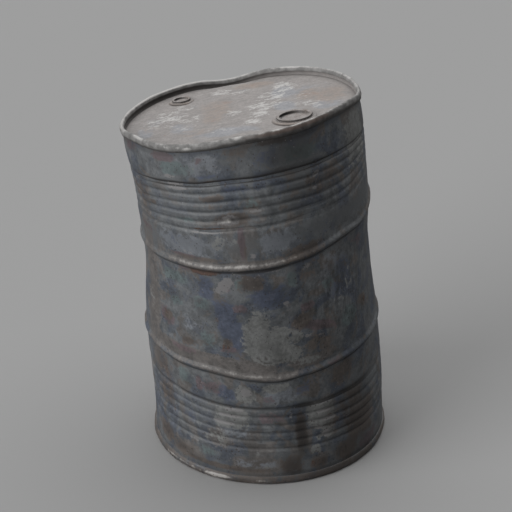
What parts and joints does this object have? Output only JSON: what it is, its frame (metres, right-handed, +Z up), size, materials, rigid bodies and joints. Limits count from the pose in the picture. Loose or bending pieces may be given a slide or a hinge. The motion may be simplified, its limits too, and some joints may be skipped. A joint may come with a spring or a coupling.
{
  "type": "rusty steel oil barrel",
  "caption": "Crushed and leaning closed-head steel oil barrel with two rolling hoops, two ribbed bands and a large and a small screw plug in its top head.",
  "frame": {"origin": "on the ground, under the middle of the leaning barrel's box", "axes": "+Z up; -Y is the side that the picture shows, +X is to the picture's right"},
  "size_m": [0.6592, 0.6226, 0.9464],
  "materials": {
    "body_paint": "faded slate blue-grey paint, matt, with rust, stains and bare worn ridges",
    "head_paint": "weathered taupe grey primer with whitish streaks and light rust",
    "bung_steel": "dull zinc plate, stained brown",
    "bung_rubber": "aged matt rubber"
  },
  "bodies": {
    "drum": {"body_shell": "body_paint", "top_head": "head_paint", "bottom_head": "body_paint", "large_bung_flange": "bung_steel", "large_flange_washer": "bung_rubber", "small_bung_flange": "bung_steel", "small_flange_washer": "bung_rubber"},
    "large_gasket": {"large_plug_gasket": "bung_rubber"},
    "large_plug": {"large_bung_plug": "bung_steel"},
    "small_gasket": {"small_plug_gasket": "bung_rubber"},
    "small_plug": {"small_bung_plug": "bung_steel"}
  },
  "joints": [
    {"name": "large_plug_rise", "type": "slide", "parent": "drum", "child": "large_gasket", "axis": [-0.1438, 0.1542, 0.9775], "range_m": [0, 0.0112]},
    {"name": "large_plug_turn", "type": "hinge", "parent": "large_gasket", "child": "large_plug", "pos_m": [0.0914, -0.07677, 0.8877], "axis": [-0.1438, 0.1542, 0.9775], "range_deg": [0, 1800]},
    {"name": "small_plug_rise", "type": "slide", "parent": "drum", "child": "small_gasket", "axis": [-0.1438, 0.1542, 0.9775], "range_m": [0, 0.0084]},
    {"name": "small_plug_turn", "type": "hinge", "parent": "small_gasket", "child": "small_plug", "pos_m": [-0.18413, 0.18085, 0.80655], "axis": [-0.1438, 0.1542, 0.9775], "range_deg": [0, 1620]}
  ],
  "couplings": [
    {"joint": "large_plug_rise", "follows": "large_plug_turn", "m_per_rad": 0.00035157},
    {"joint": "small_plug_rise", "follows": "small_plug_turn", "m_per_rad": 0.00028871}
  ]
}
